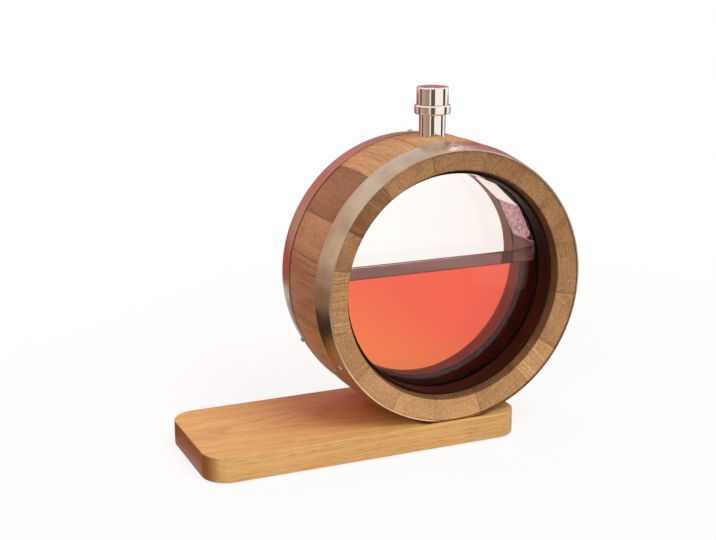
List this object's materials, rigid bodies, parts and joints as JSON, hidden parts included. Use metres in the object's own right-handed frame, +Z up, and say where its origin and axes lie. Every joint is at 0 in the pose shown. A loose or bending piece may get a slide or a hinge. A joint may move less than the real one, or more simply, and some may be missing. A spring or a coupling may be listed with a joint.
{
  "type": "cask liquor dispenser",
  "caption": "Short bulged oak cask with glass ends and a stoppered steel neck on top, turned in a cradle cut into an oak plank to pour into a glass.",
  "frame": {"origin": "bottom centre of the whole dispenser's bounding box, on the surface it stands on", "axes": "+X along the plank from the end where the glass stands towards the cask, +Y along the cask's axis from its front glass to its rear glass, +Z up"},
  "size_m": [0.381, 0.13, 0.3355],
  "materials": {
    "cask_oak": "clear satin varnish on oak",
    "plank_oak": "clear satin varnish on light oak",
    "retainer_wood": "dark stain under satin varnish",
    "hoop_steel": "fine brushed along the strip",
    "neck_steel": "polished stainless steel",
    "glass": "clear float glass with ground edges",
    "seal_rubber": "black moulded rubber",
    "plug_plastic": "black moulded plastic",
    "pad_rubber": "black rubber",
    "liquor": "clear amber liquid"
  },
  "bodies": {
    "base": {"plank": "plank_oak", "foot_pads": "pad_rubber", "liquor": "liquor"},
    "cask": {"bung_stave": "cask_oak", "stave_02": "cask_oak", "stave_03": "cask_oak", "stave_04": "cask_oak", "stave_05": "cask_oak", "stave_06": "cask_oak", "stave_07": "cask_oak", "stave_08": "cask_oak", "stave_09": "cask_oak", "stave_10": "cask_oak", "stave_11": "cask_oak", "stave_12": "cask_oak", "stave_13": "cask_oak", "stave_14": "cask_oak", "stave_15": "cask_oak", "stave_16": "cask_oak", "hoop_front": "hoop_steel", "hoop_rear": "hoop_steel", "hoop_screws_front": "hoop_steel", "hoop_screws_rear": "hoop_steel", "glass_front": "glass", "glass_rear": "glass", "glass_seal_front": "seal_rubber", "glass_seal_rear": "seal_rubber", "glass_retainer_front": "retainer_wood", "glass_retainer_rear": "retainer_wood", "neck_tube": "neck_steel", "neck_collar": "neck_steel", "neck_seal": "seal_rubber", "neck_washer": "neck_steel", "neck_nut": "neck_steel"},
    "stopper": {"stopper_cap": "neck_steel", "stopper_plug": "plug_plastic", "stopper_ring_lower": "seal_rubber", "stopper_ring_upper": "seal_rubber"}
  },
  "joints": [
    {"name": "cask_turn", "type": "hinge", "parent": "base", "child": "cask", "pos_m": [0.0565, 0, 0.155], "axis": [0, -1, 0], "range_deg": [-115, 115]},
    {"name": "stopper_lift", "type": "slide", "parent": "cask", "child": "stopper", "axis": [0, 0, 1], "range_m": [0, 0.045]}
  ]
}
